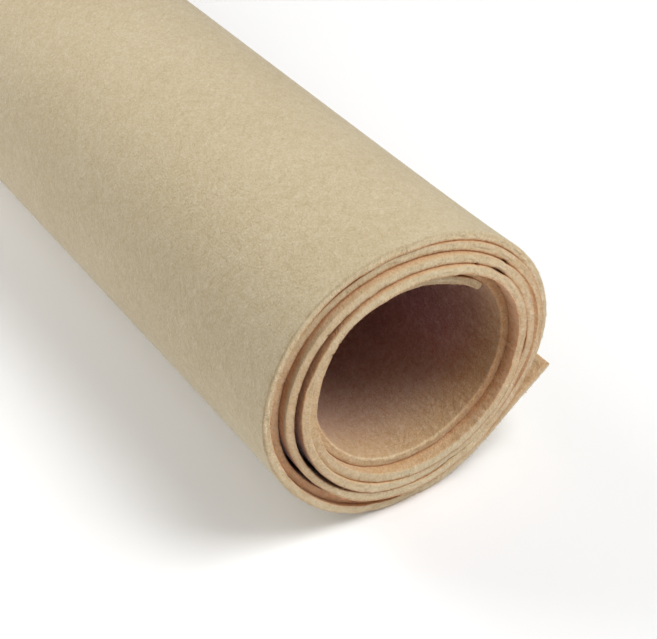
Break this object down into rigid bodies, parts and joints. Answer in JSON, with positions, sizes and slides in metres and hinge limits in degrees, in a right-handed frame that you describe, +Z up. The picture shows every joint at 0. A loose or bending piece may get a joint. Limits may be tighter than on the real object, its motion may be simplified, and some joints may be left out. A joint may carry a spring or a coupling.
{
  "type": "rolled cut of fusible interfacing",
  "caption": "Thick soft felt-like fusible interfacing sheet in natural beige, wound by hand into a loose hollow roll that lies on its side with its outer end standing free",
  "frame": {"origin": "bottom centre of the bounding box, on the surface that the roll rests on", "axes": "+Y along the roll away from its shown end, +X to the right of that end where the loose outer end stands out, +Z up"},
  "size_m": [0.1042, 0.9192, 0.0963],
  "materials": {
    "felt": "matt, softly napped natural beige needled felt with fuzzy cut edges"
  },
  "bodies": {
    "root": {"wound_sheet": "felt"}
  },
  "joints": []
}
